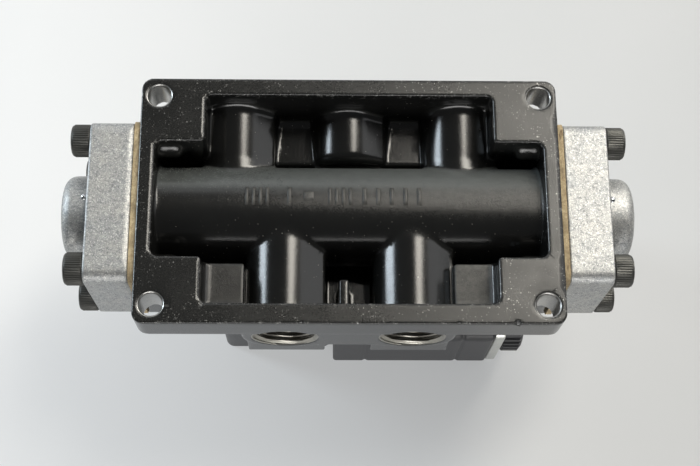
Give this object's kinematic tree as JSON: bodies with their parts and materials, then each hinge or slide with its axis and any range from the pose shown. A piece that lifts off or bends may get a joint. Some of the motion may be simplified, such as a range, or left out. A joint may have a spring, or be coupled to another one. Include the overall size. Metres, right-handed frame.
{
  "type": "solenoid directional valve",
  "caption": "Air-piloted five-port directional valve with a hollow-backed cast body, screwed end caps, a sliding spool and paired solenoid pilot valves.",
  "frame": {"origin": "centre of the mounting face: the rim plane of the hollow underside, midway between the four mounting holes", "axes": "+Z points out of the mounting face, away from the valve; +X runs along the spool towards the right end cap; -Y faces the two work ports and +Y the supply and exhaust ports"},
  "size_m": [0.149, 0.0658, 0.075],
  "materials": {
    "coated_casting": "glossy black coat",
    "gasket_fibre": "pressed fibre",
    "cast_aluminium": "fine die-cast skin",
    "black_steel": "black oxide",
    "bright_steel": "polished",
    "turned_aluminium": "turned",
    "seal_rubber": "smooth",
    "piston_plastic": "moulded",
    "gasket_green": "flat",
    "black_block": "satin black",
    "stainless_steel": "turned",
    "seat_rubber": "smooth",
    "spring_steel": "bright wire",
    "coil_resin": "moulded resin",
    "bobbin_plastic": "moulded",
    "copper_wire": "enamelled wire",
    "zinc_steel": "zinc plated",
    "nut_plastic": "moulded",
    "contact_brass": "gold flash",
    "button_brass": "turned",
    "connector_brass": "nickel over brass",
    "connector_plastic": "moulded"
  },
  "bodies": {
    "housing": {"valve_body": "coated_casting", "end_gasket_left": "gasket_fibre", "end_gasket_right": "gasket_fibre", "end_cap_left": "cast_aluminium", "end_cap_right": "cast_aluminium", "cap_screws_left": "black_steel", "cap_screws_right": "black_steel", "passage_ball_plugs": "bright_steel", "pilot_gasket": "gasket_green", "pilot_block": "black_block", "pilot_screws": "black_steel", "armature_tube_a": "stainless_steel", "armature_tube_b": "stainless_steel", "tube_seals": "seal_rubber", "plunger_spring_a": "spring_steel", "plunger_spring_b": "spring_steel", "coil_housing_a": "coil_resin", "coil_housing_b": "coil_resin", "coil_bobbin_a": "bobbin_plastic", "coil_bobbin_b": "bobbin_plastic", "coil_winding_a": "copper_wire", "coil_winding_b": "copper_wire", "yoke_a": "zinc_steel", "yoke_b": "zinc_steel", "coil_nut_a": "nut_plastic", "coil_nut_b": "nut_plastic", "coil_contacts": "contact_brass", "override_spring_a": "spring_steel", "override_spring_b": "spring_steel", "connector_body": "connector_brass", "connector_insert": "connector_plastic", "connector_pins": "contact_brass"},
    "spool": {"spool": "turned_aluminium", "spool_seals": "seal_rubber", "pilot_piston_left": "piston_plastic", "pilot_piston_right": "piston_plastic", "piston_seals": "seal_rubber"},
    "plunger_a": {"plunger_a": "stainless_steel", "plunger_seat_a": "seat_rubber"},
    "plunger_b": {"plunger_b": "stainless_steel", "plunger_seat_b": "seat_rubber"},
    "override_a": {"override_button_a": "button_brass", "override_seal_a": "seal_rubber"},
    "override_b": {"override_button_b": "button_brass", "override_seal_b": "seal_rubber"}
  },
  "joints": [
    {"name": "spool_slide", "type": "slide", "parent": "housing", "child": "spool", "axis": [1, 0, 0], "range_m": [0, 0.005]},
    {"name": "plunger_a_slide", "type": "slide", "parent": "housing", "child": "plunger_a", "axis": [1, 0, 0], "range_m": [0, 0.0018], "stiffness_N_per_m": 400, "springref_m": -0.002, "deforming": ["plunger_spring_a"]},
    {"name": "plunger_b_slide", "type": "slide", "parent": "housing", "child": "plunger_b", "axis": [1, 0, 0], "range_m": [0, 0.0018], "stiffness_N_per_m": 400, "springref_m": -0.002, "deforming": ["plunger_spring_b"]},
    {"name": "override_a_push", "type": "slide", "parent": "housing", "child": "override_a", "axis": [0, 0, 1], "range_m": [0, 0.0015], "stiffness_N_per_m": 300, "springref_m": -0.002, "deforming": ["override_spring_a"]},
    {"name": "override_b_push", "type": "slide", "parent": "housing", "child": "override_b", "axis": [0, 0, 1], "range_m": [0, 0.0015], "stiffness_N_per_m": 300, "springref_m": -0.002, "deforming": ["override_spring_b"]}
  ]
}
